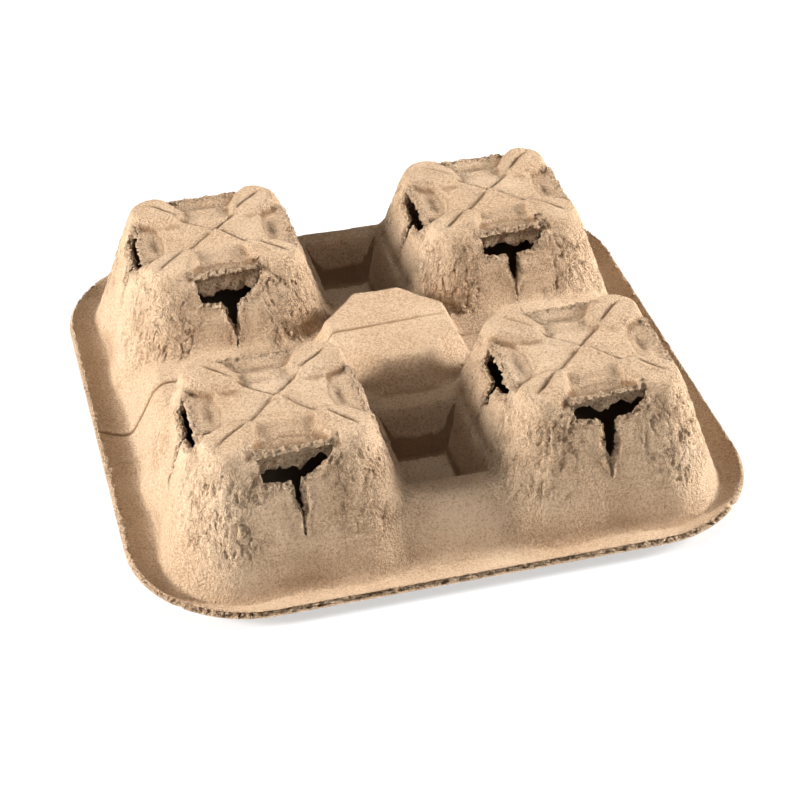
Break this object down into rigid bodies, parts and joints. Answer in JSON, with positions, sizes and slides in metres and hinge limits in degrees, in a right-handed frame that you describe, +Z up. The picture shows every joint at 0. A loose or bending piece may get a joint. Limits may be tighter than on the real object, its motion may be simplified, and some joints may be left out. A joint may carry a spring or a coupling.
{
  "type": "cup carrier",
  "caption": "Moulded pulp cup carrier lying rim down: square tray with lobed, slit cup pockets at its corners, a bump in the middle and a curled rim.",
  "frame": {"origin": "centre of the rest plane under the rim, carrier lying rim down as in the picture", "axes": "+Z up, out of the closed ends of the pockets; +Y to the back; +X to the right"},
  "size_m": [0.217, 0.217, 0.0514],
  "materials": {
    "pulp": "matt undyed brown pulp, pressed, with fibre specks"
  },
  "bodies": {
    "root": {"cup_carrier": "pulp"}
  },
  "joints": []
}
